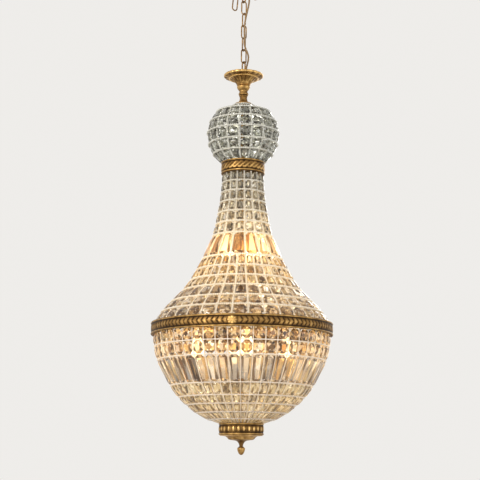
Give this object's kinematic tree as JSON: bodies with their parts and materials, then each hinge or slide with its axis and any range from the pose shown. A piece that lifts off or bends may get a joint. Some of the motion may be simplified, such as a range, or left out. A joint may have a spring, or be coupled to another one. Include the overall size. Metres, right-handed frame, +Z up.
{
  "type": "crystal chandelier",
  "caption": "Balloon-shaped chandelier: ball and flared basket of cut crystals strung between bronze bands, with candle lamps inside, hung by a chain from a ceiling hook.",
  "frame": {"origin": "centre of the ceiling bracket's screw pattern, on the ceiling plane, on the chandelier's axis", "axes": "+Z up, -Y towards the front of the picture, +X to its right"},
  "size_m": [0.4999, 0.5, 1.4387],
  "materials": {
    "aged_brass": "cast and turned brass, antique brown patina, rubbed bright on the high points",
    "tube_brass": "satin drawn brass",
    "steel": "bronze lacquer",
    "crystal": "polished cut crystal",
    "bead_strand": "small faceted beads on wire",
    "bulb_glass": "frosted warm glass",
    "candle_sleeve": "ivory candle sleeve",
    "terminal": "moulded plastic",
    "cord_sheath": "clear gold flexible cord"
  },
  "bodies": {
    "root": {"mounting_bracket": "steel", "ceiling_hook": "aged_brass", "hook_nut": "steel", "terminal_block": "terminal", "spare_chain": "aged_brass", "supply_cord_top": "cord_sheath"},
    "canopy": {"canopy": "aged_brass", "canopy_collar": "aged_brass", "cord_grommet": "terminal"},
    "link_1": {"chain_link_1": "aged_brass", "supply_cord_upper": "cord_sheath"},
    "chain_run": {"chain_link_2": "aged_brass", "chain_link_3": "aged_brass", "chain_link_4": "aged_brass", "chain_link_5": "aged_brass", "chain_link_6": "aged_brass", "supply_cord_run": "cord_sheath"},
    "link_7": {"chain_link_7": "aged_brass", "supply_cord_lower": "cord_sheath"},
    "chandelier": {"top_loop": "aged_brass", "top_cup": "aged_brass", "cord_bush": "terminal", "stem_baluster": "aged_brass", "ball_cap": "aged_brass", "central_tube": "tube_brass", "supply_cord_tail": "cord_sheath", "ball_crystals": "crystal", "ball_strands": "bead_strand", "ball_hoops": "bead_strand", "neck_band": "aged_brass", "neck_spider": "steel", "neck_crystals": "crystal", "neck_prisms": "crystal", "neck_strands": "bead_strand", "neck_hoops": "bead_strand", "skirt_upper_crystals": "crystal", "skirt_lower_crystals": "crystal", "skirt_strands": "bead_strand", "skirt_hoops": "bead_strand", "main_ring": "steel", "main_band": "aged_brass", "main_spider": "steel", "bowl_upper_crystals": "crystal", "bowl_prisms": "crystal", "bowl_lower_crystals": "crystal", "bowl_strands": "bead_strand", "bowl_hoops": "bead_strand", "bottom_band": "aged_brass", "bottom_plate": "steel", "tube_nuts": "steel", "tube_plug": "tube_brass", "upper_lamp_arms": "tube_brass", "upper_lamp_holders": "candle_sleeve", "upper_bulbs": "bulb_glass", "lower_lamp_arms": "tube_brass", "lower_lamp_holders": "candle_sleeve", "lower_bulbs": "bulb_glass"},
    "dish": {"bottom_dish": "aged_brass"},
    "finial": {"finial": "aged_brass"}
  },
  "joints": [
    {"name": "hook_swing", "type": "hinge", "parent": "root", "child": "link_1", "pos_m": [0, 0, -0.0804], "axis": [0.5299, -0.848, 0], "range_deg": [-8, 8]},
    {"name": "first_link_swing", "type": "hinge", "parent": "link_1", "child": "chain_run", "pos_m": [0, 0, -0.1162], "axis": [0.848, 0.5299, 0], "range_deg": [-8, 8]},
    {"name": "last_link_swing", "type": "hinge", "parent": "chain_run", "child": "link_7", "pos_m": [0, 0, -0.2987], "axis": [0.5299, -0.848, 0], "range_deg": [-8, 8]},
    {"name": "loop_swing", "type": "hinge", "parent": "link_7", "child": "chandelier", "pos_m": [0, 0, -0.3352], "axis": [0.848, 0.5299, 0], "range_deg": [-8, 8]},
    {"name": "canopy_drop", "type": "slide", "parent": "root", "child": "canopy", "axis": [0, 0, 1], "range_m": [-0.015, 0]},
    {"name": "dish_drop", "type": "slide", "parent": "chandelier", "child": "dish", "axis": [0, 0, 1], "range_m": [-0.0075, 0]},
    {"name": "finial_turn", "type": "hinge", "parent": "dish", "child": "finial", "pos_m": [0, 0, -1.42], "axis": [0, 0, 1], "range_deg": [-2160, 0]}
  ],
  "couplings": [
    {"joint": "finial_turn", "follows": "dish_drop", "rad_per_m": 5026.5}
  ]
}
